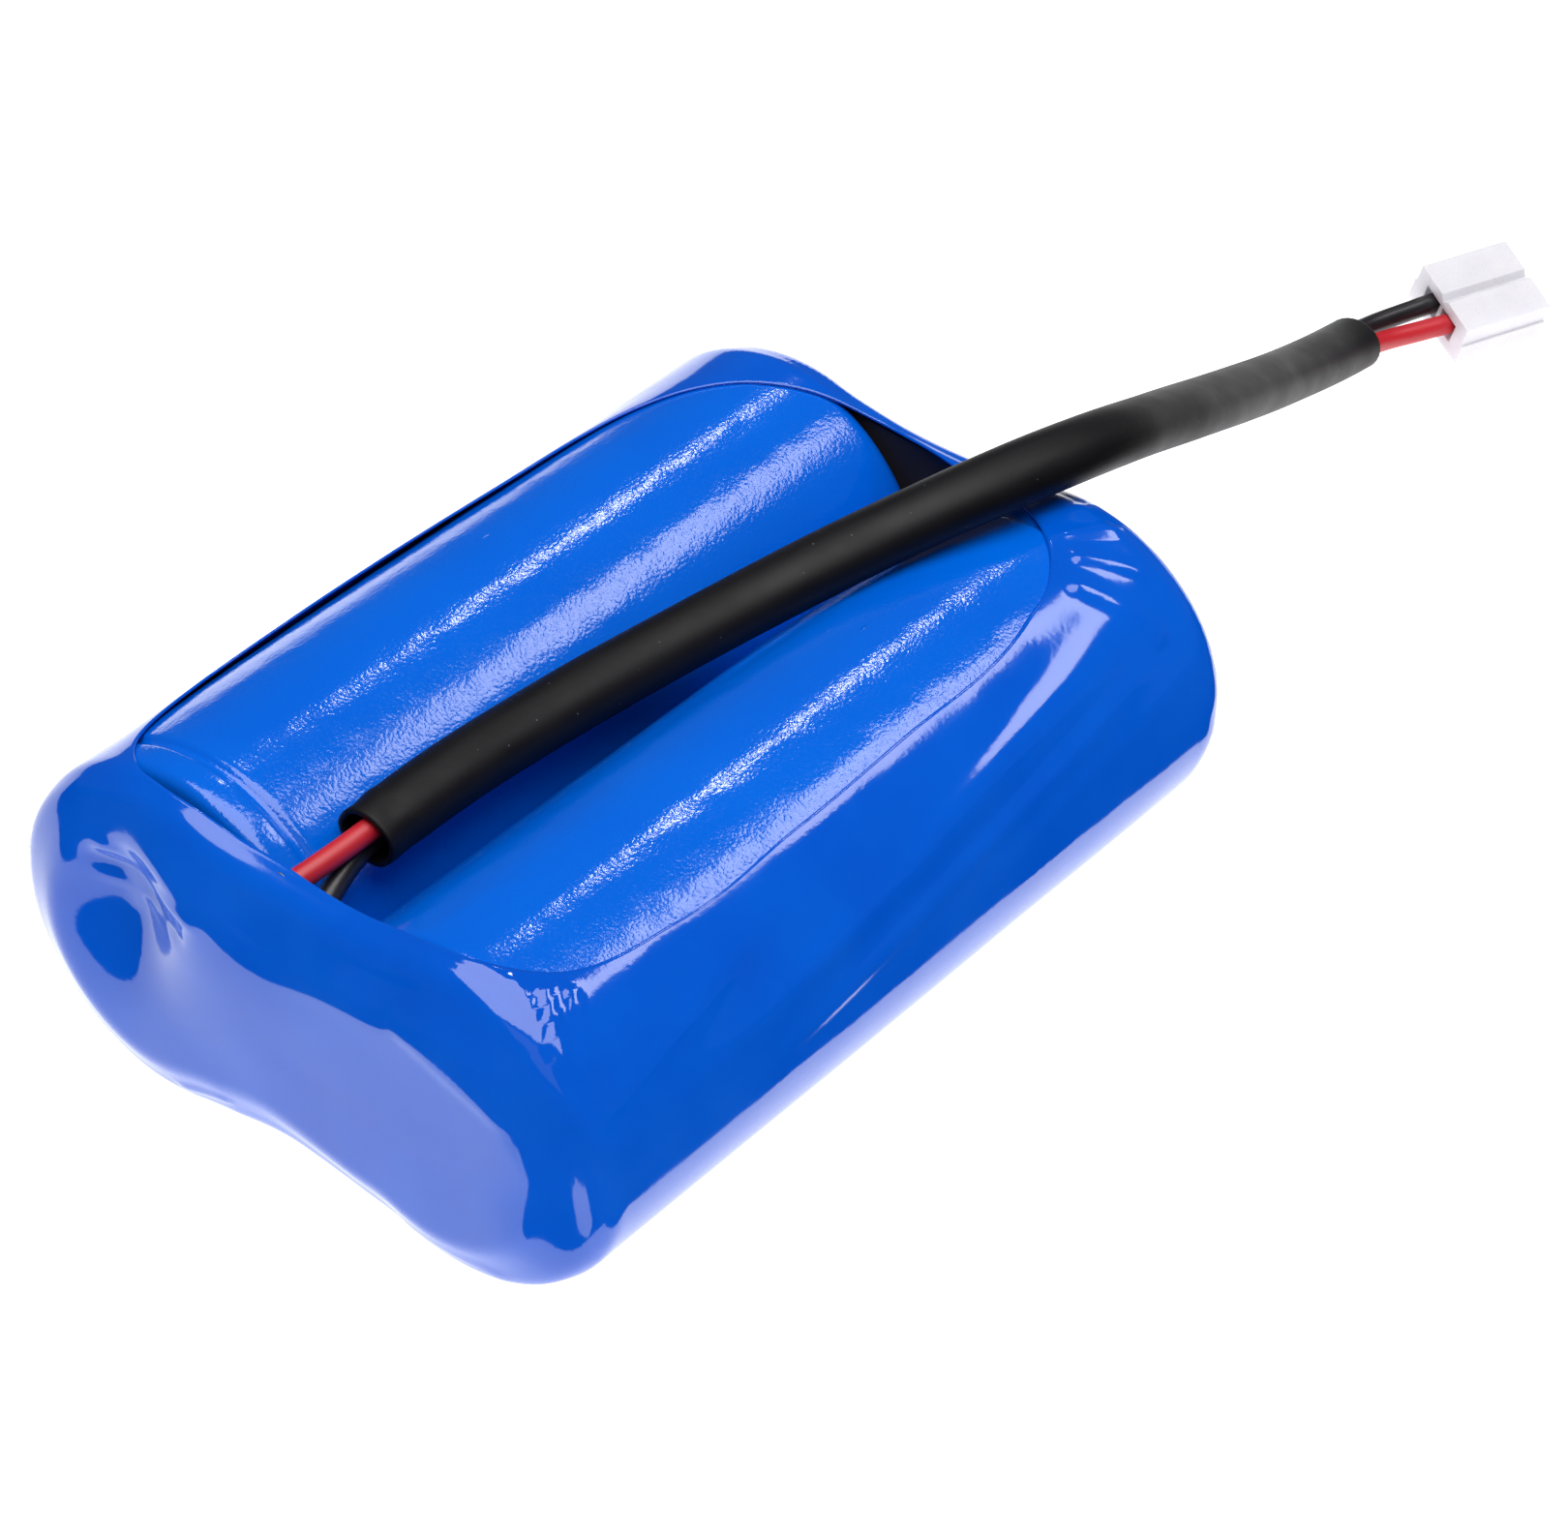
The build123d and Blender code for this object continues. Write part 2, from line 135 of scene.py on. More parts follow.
def wrapFinish():
    # PVC cell sleeve, extruded and heat-shrunk: bright blue, with a grain that sparkles under a lamp
    look = wrapLook
    finish, tree, shader, place = newFinish("blue PVC cell sleeve", {
        "Base Color": linear(look["body"]), "Roughness": look["roughness"], "IOR": 1.54,
        "Specular IOR Level": 0.5})
    blendColours(tree, shader, look["body"], look["light"], addCloud(tree, place, look["cloud"], 3.0))
    grain = addCloud(tree, place, look["grain"], 1.0)
    varyRoughness(tree, shader, look["roughness"], 0.03, 0.03, grain, 0.3)
    # draw lines 0.9 mm apart and about 22 mm long
    drawn = addNode(tree, "ShaderNodeMapping", {"Scale": (look["line stretch"], 1.0, 1.0)},
                    {"Vector": place})
    lines = addCloud(tree, drawn.outputs["Vector"], look["line"], 2.0)
    # gel specks, 0.2 mm wide and about 1 mm long, one every few millimetres
    drawn = addNode(tree, "ShaderNodeMapping", {"Scale": (look["speck stretch"], 1.0, 1.0)},
                    {"Vector": place})
    specks = addSpots(tree, drawn.outputs["Vector"], look["speck"], 0.02, 0.045)
    relief = addBump(tree, grain, 0.9, 0.021)
    relief = addBump(tree, lines, 0.15, 0.03, relief)
    relief = addBump(tree, specks, 1.0, 0.05, relief)
    tree.links.new(relief, shader.inputs["Normal"])
    return finish


tubingLook = {"body": "#0A090C", "dust": "#77727C", "roughness": 0.52, "cloud": 5, "grain": 0.25,
              "dust spacing": 1.5}


def tubingFinish():
    # cross-linked polyolefin tubing, extruded: satin black with a broad soft sheen and a little dust
    look = tubingLook
    finish, tree, shader, place = newFinish("black polyolefin tubing", {
        "Base Color": linear(look["body"]), "Roughness": look["roughness"], "IOR": 1.45,
        "Specular IOR Level": 0.3})
    cloud = addCloud(tree, place, look["cloud"], 4.0)
    dust = addSpots(tree, place, look["dust spacing"], 0.03, 0.055)
    some = addNode(tree, "ShaderNodeMath", {"operation": "MULTIPLY"}, {0: dust, 1: cloud})
    blendColours(tree, shader, look["body"], look["dust"], some.outputs[0])
    varyRoughness(tree, shader, look["roughness"], 0.06, 0.06, cloud)
    relief = addBump(tree, addCloud(tree, place, look["grain"], 3.0), 0.35, 0.03)
    relief = addBump(tree, cloud, 0.4, 0.08, relief)
    tree.links.new(relief, shader.inputs["Normal"])
    return finish


plasticLooks = {
    # soft PVC insulation, extruded: even colour, soft gloss
    "redWire": {"name": "red PVC insulation", "body": "#B3121F", "worn": "#C62430", "roughness": 0.42,
                "grain": 0.3, "IOR": 1.53},
    "blackWire": {"name": "black PVC insulation", "body": "#141216", "worn": "#242126", "roughness": 0.36,
                  "grain": 0.3, "IOR": 1.53},
    # nitrile seal, moulded: matt black
    "gasket": {"name": "moulded nitrile seal", "body": "#1B1B1D", "worn": "#2C2C2E", "roughness": 0.6,
               "grain": 0.5, "IOR": 1.52},
    # polypropylene discs, punched: white and slightly waxy
    "disc": {"name": "punched polypropylene disc", "body": "#E6E6E0", "worn": "#D2D0C6", "roughness": 0.5,
             "grain": 0.6, "IOR": 1.49},
    # vulcanised fibre paper, calendered: dark brown and dry
    "paper": {"name": "vulcanised fibre paper", "body": "#17110E", "worn": "#2A201A", "roughness": 0.72,
              "grain": 0.8, "IOR": 1.5},
    # hot-melt glue, run in between the cells: milky amber and wet-looking
    "glue": {"name": "hot-melt glue", "body": "#D9CDA8", "worn": "#E8E0C4", "roughness": 0.22,
             "grain": 1.6, "IOR": 1.49},
}


def plasticFinish(look):
    finish, tree, shader, place = newFinish(look["name"], {
        "Base Color": linear(look["body"]), "Roughness": look["roughness"], "IOR": look["IOR"]})
    cloud = addCloud(tree, place, 4, 4.0)
    blendColours(tree, shader, look["body"], look["worn"], cloud)
    varyRoughness(tree, shader, look["roughness"], 0.06, 0.06, cloud)
    relief = addBump(tree, addCloud(tree, place, look["grain"], 3.0), 0.3, 0.03)
    tree.links.new(relief, shader.inputs["Normal"])
    return finish


plugLook = {"body": "#F1EFF3", "shade": "#E2DFE8", "roughness": 0.34, "flow": 2.2, "spark": 0.12,
            "depth": 1.6}


def plugFinish():
    # natural nylon, injection moulded: milky white, light passes through the thin walls
    look = plugLook
    finish, tree, shader, place = newFinish("natural moulded nylon", {
        "Base Color": linear(look["body"]), "Roughness": look["roughness"], "IOR": 1.53,
        "Subsurface Weight": 0.55, "Subsurface Radius": (1.0, 0.9, 0.95),
        "Subsurface Scale": look["depth"] * mm, "Transmission Weight": 0.12})
    blendColours(tree, shader, look["body"], look["shade"], addCloud(tree, place, look["flow"], 3.0))
    spark = addCloud(tree, place, look["spark"], 2.0)  # the mould's spark-eroded surface
    varyRoughness(tree, shader, look["roughness"], 0.08, 0.08, spark)
    tree.links.new(addBump(tree, spark, 0.2, 0.02), shader.inputs["Normal"])
    return finish


metalLooks = {
    # nickel-plated deep-drawn steel: bright warm grey with draw lines
    "can": {"name": "nickel plated steel", "body": "#C9C5BC", "dull": "#A9A59B", "roughness": 0.28,
            "stretch": (0.05, 1.0, 1.0), "grain": 0.4},
    # pure nickel strip, cold rolled: brushed along its length, slightly grey
    "strip": {"name": "rolled nickel strip", "body": "#BDB9AE", "dull": "#9C978B", "roughness": 0.32,
              "stretch": (1.0, 0.06, 1.0), "grain": 0.3},
    # tin solder, frozen from the melt: bright, faintly frosted
    "solder": {"name": "frozen solder", "body": "#D4D4D6", "dull": "#A5A6AA", "roughness": 0.22,
               "stretch": (1.0, 1.0, 1.0), "grain": 0.5},
    # aluminium foil, rolled: pale and soft-bright
    "foil": {"name": "rolled aluminium foil", "body": "#DDDFE2", "dull": "#B9BCC0", "roughness": 0.34,
             "stretch": (1.0, 0.08, 1.0), "grain": 0.35},
    # tinned phosphor bronze, stamped: bright with a warm cast
    "contact": {"name": "tinned stamped bronze", "body": "#CFCBC2", "dull": "#A8A294", "roughness": 0.25,
                "stretch": (0.2, 1.0, 1.0), "grain": 0.25},
}


def metalFinish(look):
    finish, tree, shader, place = newFinish(look["name"], {
        "Base Color": linear(look["body"]), "Metallic": 1.0, "Roughness": look["roughness"]})
    blendColours(tree, shader, look["body"], look["dull"], addCloud(tree, place, 3, 5.0))
    drawn = addNode(tree, "ShaderNodeMapping", {"Scale": look["stretch"]}, {"Vector": place})
    lines = addCloud(tree, drawn.outputs["Vector"], look["grain"], 3.0)
    varyRoughness(tree, shader, look["roughness"], 0.08, 0.12, lines)
    tree.links.new(addBump(tree, lines, 0.3, 0.02), shader.inputs["Normal"])
    return finish


windingLook = {"foil": "#B77A50", "coating": "#26262A", "pitch": 0.35}


def windingFinish(axisPlace):
    # wound electrode foils: copper and black coating in turns 0.35 mm apart, seen as rings on the ends
    look = windingLook
    finish, tree, shader, place = newFinish("wound electrode foils", {
        "Base Color": linear(look["coating"]), "Roughness": 0.55, "Metallic": 0.3})
    centred = addNode(tree, "ShaderNodeMapping", {"Location": axisPlace}, {"Vector": place})
    # a wave texture of scale one repeats about every 0.314 units
    rings = addNode(tree, "ShaderNodeTexWave", {
        "wave_type": "RINGS", "rings_direction": "X", "Scale": 0.314 / (look["pitch"] * mm),
        "Distortion": 1.2, "Detail": 2.0, "Detail Scale": 0.4},
        {"Vector": centred.outputs["Vector"]}).outputs["Fac"]
    blendColours(tree, shader, look["coating"], look["foil"], rings)
    tree.links.new(addBump(tree, rings, 0.4, 0.1), shader.inputs["Normal"])
    return finish


def dress(piece, finish):
    piece.data.materials.clear()
    piece.data.materials.append(finish)
    if hasattr(piece.data, "polygons"):
        for face in piece.data.polygons:
            face.material_index = 0


finishes = {"film": filmFinish(), "wrap": wrapFinish(), "tubing": tubingFinish(), "plug": plugFinish()}
for key, look in plasticLooks.items():
    finishes[key] = plasticFinish(look)
for key, look in metalLooks.items():
    finishes[key] = metalFinish(look)

cells = ("cell_a", "cell_b")
for cell in cells:
    low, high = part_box(cell + "_can")
    finishes[cell] = windingFinish((0.0, -(low[1] + high[1]) / 2, -(low[2] + high[2]) / 2))

cellFinishes = {
    "can": "can", "cap": "can", "base_insulator": "disc", "top_insulator": "disc", "washer": "disc",
    "gasket": "gasket", "vent_disc": "foil", "plus_tab": "foil", "minus_tab": "strip", "jacket": "wrap",
}
packFinishes = {
    "glue_bead": "glue", "positive_strip": "strip", "negative_strip": "strip", "series_link": "strip",
    "red_solder": "solder", "black_solder": "solder", "near_end_paper": "paper", "far_end_paper": "paper",
    "outer_film": "film", "red_wire": "redWire", "black_wire": "blackWire", "lead_sleeve": "tubing",
    "plug_housing": "plug", "red_contact": "contact", "black_contact": "contact",
}
for cell in cells:
    for part, key in cellFinishes.items():
        dress(nodes[cell + "_" + part], finishes[key])
    dress(nodes[cell + "_winding"], finishes[cell])
for name, key in packFinishes.items():
    dress(nodes[name], finishes[key])
print("finishes made:", len(finishes))


def newPiece(name, mesh, finish, slotName, *stoodFor):
    piece = bpy.data.objects.new(name, mesh)
    bpy.context.scene.collection.objects.link(piece)
    dress(piece, finish)
    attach(piece, "root")
    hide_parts(*stoodFor)
    return piece


def addWall(piece, thickness):
    wall = piece.modifiers.new("wall", "SOLIDIFY")
    wall.thickness = thickness * mm
    wall.offset = -1.0
    return wall


def bell(value, centre, width):
    return math.exp(-((value - centre) / width) ** 2)


def step(value, start, end):
    t = min(max((value - start) / (end - start), 0.0), 1.0)
    return t * t * (3 - 2 * t)


def wander(place, size, seed):
    spot = Vector((place[0] / size[0], place[1] / size[1], place[2] / size[2]))
    return noise.noise(spot + Vector((seed, 0, 0)))


# the outer film, in mm
filmShape = {
    "columns": 420, "rows": 112,
    "plan corner": 2.2, "end rounding": 2.0, "waist below": 10.5,
    "cell radius": 13.34, "cell offset": 13.16, "bridge start": 9.48, "bridge top": 11.94,
    "bridge slope": 0.287, "thickness": 0.19, "upright corner": 0.36, "proud rim": 0.38,
    # free edge of the upper opening, along and across the pack in mm
    "upper edge": [(-30.1, 18.7), (-32.2, 16.2), (-32.7, 13.7), (-32.5, 8.0), (-32.3, 2.3),
                   (-32.4, -6.7), (-32.4, -13.3), (-30.7, -16.6), (-27.5, -18.8), (-19.3, -20.0),
                   (-7.2, -19.9), (5.7, -19.5), (20.2, -18.4), (23.5, -17.6), (25.9, -16.2),
                   (28.0, -14.0), (29.6, -11.2), (31.6, -4.0), (32.6, 1.0), (32.7, 5.0),
                   (32.0, 8.0), (30.0, 11.6), (27.5, 15.0), (24.8, 17.4), (20.6, 19.4),
                   (8.8, 20.7), (-2.0, 21.6), (-12.0, 22.0), (-21.0, 21.6), (-27.0, 20.3)],
    # free edge of the underside
    "lower edge": [(-30.0, 0.0), (-29.4, -12.0), (-26.5, -17.0), (-20.0, -19.0), (0.0, -19.4), (20.0, -19.0),
                   (26.5, -17.0), (29.4, -12.0), (30.0, 0.0), (29.4, 12.0), (26.5, 17.0), (20.0, 19.0),
                   (0.0, 19.4), (-20.0, 19.0), (-26.5, 17.0), (-29.4, 12.0)],
}


def makeFilm():
    f = filmShape
    low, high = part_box("outer_film")
    halfLong, halfWide = (high[0] - low[0]) / 2 / mm, (high[1] - low[1]) / 2 / mm
    axisHeight = f["cell radius"]

    def topHeight(x, y, bridgeTop):
        inset = 0.0
        past = abs(x) - (halfLong - f["end rounding"])
        if past > 0:
            inset = f["end rounding"] - math.sqrt(max(f["end rounding"] ** 2 - past ** 2, 0.0))
        side = abs(y)
        if side > f["bridge start"]:
            return math.sqrt(max((f["cell radius"] - inset) ** 2 - (side - f["cell offset"]) ** 2, 0.0))
        t = side / f["bridge start"]
        rise = math.sqrt(f["cell radius"] ** 2 - (f["bridge start"] - f["cell offset"]) ** 2)
        return (bridgeTop + (rise - bridgeTop) * (3 * t * t - 2 * t ** 3)
                + f["bridge slope"] * f["bridge start"] * (t ** 3 - t * t)) - inset

    def edgeCurve(points):
        polar = sorted((math.atan2(y / halfWide, x / halfLong), math.hypot(x / halfLong, y / halfWide))
                       for x, y in points)
        turn = 2 * math.pi
        polar = [(a - turn, r) for a, r in polar[-2:]] + polar + [(a + turn, r) for a, r in polar[:2]]

        def reach(angle):
            for i in range(1, len(polar) - 2):
                if angle <= polar[i + 1][0]:
                    break
            (a0, r0), (a1, r1), (a2, r2), (a3, r3) = polar[i - 1:i + 3]
            t = (angle - a1) / (a2 - a1)
            start = (r2 - r0) / (a2 - a0) * (a2 - a1)
            end = (r3 - r1) / (a3 - a1) * (a2 - a1)
            return (r1 * (2 * t ** 3 - 3 * t * t + 1) + start * (t ** 3 - 2 * t * t + t)
                    + r2 * (3 * t * t - 2 * t ** 3) + end * (t ** 3 - t * t))
        return reach

    upper, lower = edgeCurve(f["upper edge"]), edgeCurve(f["lower edge"])

    def planEdge(s):
        c = f["plan corner"]
        straightX, straightY, arc = 2 * (halfLong - c), 2 * (halfWide - c), math.pi / 2 * c
        d = (s % 1.0) * (2 * straightX + 2 * straightY + 4 * arc)
        corners = [(halfLong - c, halfWide - c, 0.0), (-halfLong + c, halfWide - c, 90.0),
                   (-halfLong + c, -halfWide + c, 180.0), (halfLong - c, -halfWide + c, 270.0)]
        for cx, cy, start in corners:
            straight = straightY if start in (0.0, 180.0) else straightX
            a = math.radians(start)
            out = Vector((math.cos(a), math.sin(a)))
            if d < straight:
                along = Vector((-math.sin(a), math.cos(a)))
                return Vector((cx, cy)) + out * c - along * (straight - d)
            d -= straight
            if d < arc:
                a += d / c
                return Vector((cx, cy)) + Vector((math.cos(a), math.sin(a))) * c
            d -= arc
        return Vector((halfLong, -halfWide + c))

    def columnLine(s, edge, sign):
        outer = planEdge(s)
        angle = math.atan2(outer.y / halfWide, outer.x / halfLong)
        reach = edge(angle)
        inner = Vector((halfLong * math.cos(angle) * reach, halfWide * math.sin(angle) * reach))
        bridgeTop = f["bridge top"] if sign > 0 else f["waist below"]
        rise = topHeight(outer.x, outer.y, bridgeTop)
        line = [Vector((outer.x, outer.y, axisHeight + sign * rise * i / 16)) for i in range(16)]
        for i in range(49):
            t = i / 48
            t = t * t * (1.6 - 0.6 * t)
            p = outer.lerp(inner, t)
            line.append(Vector((p.x, p.y, axisHeight + sign * topHeight(p.x, p.y, bridgeTop))))
        far = [0.0]
        for a, b in zip(line, line[1:]):
            far.append(far[-1] + (b - a).length)
        return line, far

    def along(column, part):
        line, far = column
        goal = part * far[-1]
        for i in range(1, len(far)):
            if far[i] >= goal:
                t = (goal - far[i - 1]) / max(far[i] - far[i - 1], 1e-9)
                return line[i - 1].lerp(line[i], t)
        return line[-1]

    bm = bmesh.new()
    bmesh.ops.create_grid(bm, x_segments=f["columns"], y_segments=f["rows"], size=1.0)
    columns = {}
    share = bm.verts.layers.float.new("share")
    for vert in bm.verts:
        s, t = (vert.co.x + 1) / 2, (vert.co.y + 1) / 2
        key = round(s * f["columns"])
        if key not in columns:
            columns[key] = (columnLine(s, upper, 1), columnLine(s, lower, -1))
        above, below = columns[key]
        vert.co = along(above, (t - 0.5) * 2) if t >= 0.5 else along(below, (0.5 - t) * 2)
        vert[share] = t
    # the grid's first and last columns meet and are joined here
    bmesh.ops.remove_doubles(bm, verts=bm.verts, dist=0.004)
    bmesh.ops.recalc_face_normals(bm, faces=bm.faces)
    bm.normal_update()
    bm.verts.ensure_lookup_table()
    if bm.verts[0].normal.dot(bm.verts[0].co - Vector((0, 0, axisHeight))) < 0:
        bmesh.ops.reverse_faces(bm, faces=bm.faces)
        bm.normal_update()
    moves = []
    for vert in bm.verts:
        lift = filmRelief(vert.co, vert.normal, vert[share], axisHeight)
        moves.append(vert.co + vert.normal * lift)
    for vert, place in zip(bm.verts, moves):
        vert.co = place * mm
    bm.verts.layers.float.remove(share)
    for face in bm.faces:
        face.smooth = True
    mesh = bpy.data.meshes.new("shrink_film")
    bm.to_mesh(mesh)
    bm.free()
    film = newPiece("shrink_film", mesh, finishes["film"], "blue_film", "outer_film")
    addWall(film, f["thickness"]).use_even_offset = False


def ridge(first, second, start, end, width, height):
    # a short pleat from start to end, seen in two of the three directions
    run = Vector(end) - Vector(start)
    off = Vector((first, second)) - Vector(start)
    part = off.dot(run) / run.length_squared
    miss = (off - run * min(max(part, 0.0), 1.0)).length
    return height * math.exp(-(miss / width) ** 2)


reliefShape = {
    "waves": 0.06, "wave size": (26, 9, 9),
    # how far the ends swell, and how wide their slopes are
    "bulge": 2.7, "slope": 4.8, "ripple": 0.10, "ripple size": (5, 7, 6),
    # creases at the corners of the opening: start and end, along and across, then width and height
    "corners": [((-31.6, -16.8), (-33.2, -20.5), 0.35, 0.20), ((-30.6, -18.4), (-32.6, -22.0), 0.35, 0.22),
                ((-29.2, -19.6), (-31.4, -23.0), 0.4, 0.16), ((29.6, -13.0), (33.0, -14.5), 0.4, 0.20),
                ((29.0, -15.2), (32.6, -17.2), 0.4, 0.24), ((28.0, -17.0), (31.2, -20.4), 0.5, 0.22),
                ((26.0, -18.8), (29.0, -23.4), 0.8, 0.25)],
    # pleats of the near end: start and end, across and up, then width and height
    "pleats": [((17.6, 20.2), (8.4, 19.6), 0.7, 0.22), ((17.8, 17.2), (13.4, 16.8), 0.6, 0.16),
               ((18.5, 18.8), (10.0, 17.6), 0.9, -0.24), ((10.8, 2.6), (6.4, 4.4), 0.5, 0.20),
               ((-11.0, 21.5), (-20.0, 18.6), 0.6, 0.12), ((-17.5, 3.0), (-10.0, 2.6), 0.8, 0.12)],
    # hollows: across, up, width across, width up, depth
    "hollows": [(15.6, 16.6, 4.6, 6.4, 2.9), (-23.5, 12.0, 2.6, 4.6, 1.1), (3.0, 21.0, 6.0, 2.6, 0.35)],
    # long folds of the second cell's side: start and end, along and up, then width and height
    "folds": [((-20, 18.0), (28, 22.8), 1.1, 0.40), ((-16, 14.8), (24, 20.0), 0.9, 0.30),
              ((2, 20.8), (31, 24.4), 0.8, 0.20), ((-29, 20.0), (-14, 22.8), 0.9, 0.22),
              ((8, 15.5), (31, 18.5), 1.1, 0.16)],
}


def endLift(p, axisHeight):
    # the ends swell over the papers, and slope back to the cells' round edges: 0 at the edge, 1 inside
    f = filmShape
    across, up = abs(p.y), abs(p.z - axisHeight)
    radial = f["cell radius"] - math.hypot(across - f["cell offset"], up)
    if across > f["bridge start"]:
        level = math.sqrt(max(f["cell radius"] ** 2 - (across - f["cell offset"]) ** 2, 0.0))
    else:
        level = 12.0 + 0.82 * (across / f["bridge start"]) ** 2
    share = step(across, 6.0, 13.0)
    inside = (1 - share) * (level - up) + share * radial
    part = max(0.0, inside / (reliefShape["slope"] + 0.9 * bell(p.y, 2, 5)))
    if part < 0.85:
        return part
    return 0.85 + 0.15 * (1 - (1 - min((part - 0.85) / 0.3, 1.0)) ** 2)


def filmRelief(p, n, share, axisHeight):
    # how far the film stands off its stretched shape, in mm
    s = reliefShape
    nearFace, farFace = step(-n.x, 0.45, 0.9), step(n.x, 0.45, 0.9)
    sideFace = step(abs(n.y), 0.25, 0.8)
    h = s["waves"] * (1.0 + wander(p, s["wave size"], 3.1)) * (0.4 + 0.6 * sideFace) * (1 - nearFace)
    if nearFace > 0 or farFace > 0:
        face = nearFace if p.x < 0 else farFace
        h += s["bulge"] * endLift(p, axisHeight) * face
        if p.x < 0:
            for start, end, wide, high in s["pleats"]:
                h += face * ridge(p.y, p.z, start, end, wide, high)
            for y, z, wideY, wideZ, deep in s["hollows"]:
                h -= face * deep * bell(p.y, y, wideY) * bell(p.z, z, wideZ)
            h += face * s["ripple"] * wander(p, s["ripple size"], 8.3)
        h = max(h, -0.02)  # the paper lies just behind
    # the upright corners keep clear of the papers' edges
    h += filmShape["upright corner"] * (2 * n.x * n.y) ** 2
    if p.y < 0:
        for start, end, wide, high in s["folds"]:
            part = (p.x - start[0]) / (end[0] - start[0])
            centre = start[1] + (end[1] - start[1]) * part
            ends = step(part, -0.15, 0.2) * (1 - step(part, 0.8, 1.15))
            h += high * bell(p.z, centre, wide) * ends * sideFace
    if p.z > 21 and p.y < -10:
        for start, end, wide, high in s["corners"]:
            h += ridge(p.x, p.y, start, end, wide, high)
    # the free edge on the first cell's side stands proud
    if p.y > 16:
        h += filmShape["proud rim"] * step(share, 0.90, 1.0) * step(p.y, 16, 20) * bell(p.x, -4, 24)
    return h


makeFilm()
print("film made")


# the cells' own sleeves, in mm
wrapShape = {
    "steps": 300, "rings": 96, "wall": 0.12, "bead at": 28.85, "crease": 0.03,
    "cell_a": {"waves": 0.03, "seed": 2.0, "cap side": -1},
    "cell_b": {"waves": 0.06, "seed": 9.0, "cap side": 1},
}


def makeWrap(cell):
    w = wrapShape
    waves, seed = w[cell]["waves"], w[cell]["seed"]
    low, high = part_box(cell + "_jacket")
    midY, midZ = (low[1] + high[1]) / 2 / mm, (low[2] + high[2]) / 2 / mm
    radius = (high[2] - low[2]) / 2 / mm
    start, end = low[0] / mm, high[0] / mm
    base, cap = (end, start) if w[cell]["cap side"] < 0 else (start, end)
    length = abs(cap - base)
    # along from the base end, and out from the axis
    line = [(0.02, radius - 2.7), (0.0, radius - 1.2), (0.10, radius - 0.55), (0.40, radius - 0.12),
            (0.85, radius - 0.02), (1.4, radius)]
    for i in range(1, w["rings"]):
        line.append((1.4 + (length - 6.6) * i / w["rings"], radius))
    # back from the cap's end, and in from the radius: the groove over the can's bead, then the round edge
    bead = abs(cap) - w["bead at"]
    for back, drop in ((bead + 1.6, 0.0), (bead + 1.1, 0.0), (bead + 0.75, 0.0), (bead + 0.55, 0.04),
                       (bead + 0.35, 0.20), (bead + 0.12, 0.34), (bead - 0.12, 0.34), (bead - 0.35, 0.20),
                       (bead - 0.55, 0.04), (bead - 0.75, 0.0), (2.0, 0.0), (1.5, 0.0), (1.1, 0.03),
                       (0.75, 0.10), (0.4, 0.28), (0.15, 0.65), (0.02, 1.2), (0.0, 1.9), (0.02, 2.7)):
        line.append((length - back, radius - drop))
    bm = bmesh.new()
    verts = [bm.verts.new((base + (a if base < cap else -a), midY, midZ + r)) for a, r in line]
    edges = [bm.edges.new(pair) for pair in zip(verts, verts[1:])]
    bmesh.ops.spin(bm, geom=verts + edges, cent=(0, midY, midZ), axis=(1, 0, 0), angle=2 * math.pi,
                   steps=w["steps"], use_merge=True)
    bmesh.ops.recalc_face_normals(bm, faces=bm.faces)
    for vert in bm.verts:
        out = Vector((0, vert.co.y - midY, vert.co.z - midZ))
        angle = math.atan2(out.z, out.y)
        out.normalize()
        along, around = vert.co.x, angle * radius
        # drawn waves along the cell, only outwards and only on the open top
        wave = noise.noise(Vector((along / 42, around / 3.4, seed)))
        wave += 0.22 * noise.noise(Vector((along / 22, around / 1.5, seed + 5)))
        crease = w["crease"] * noise.noise(Vector((along / 2.0, around / 1.5, 4.0)))
        fade = step(abs(along), 33.0, 29.0)
        vert.co += out * max(0.0, (wave + 0.45) * waves * fade + crease) * step(out.z, 0.35, 0.75)
    for vert in bm.verts:
        vert.co *= mm
    for face in bm.faces:
        face.smooth = True
    mesh = bpy.data.meshes.new(cell + "_sleeve")
    bm.to_mesh(mesh)
    bm.free()
    addWall(newPiece(cell + "_sleeve", mesh, finishes["wrap"], "cell_jacket", cell + "_jacket"), w["wall"])


for cell in cells:
    makeWrap(cell)
print("cell sleeves made")


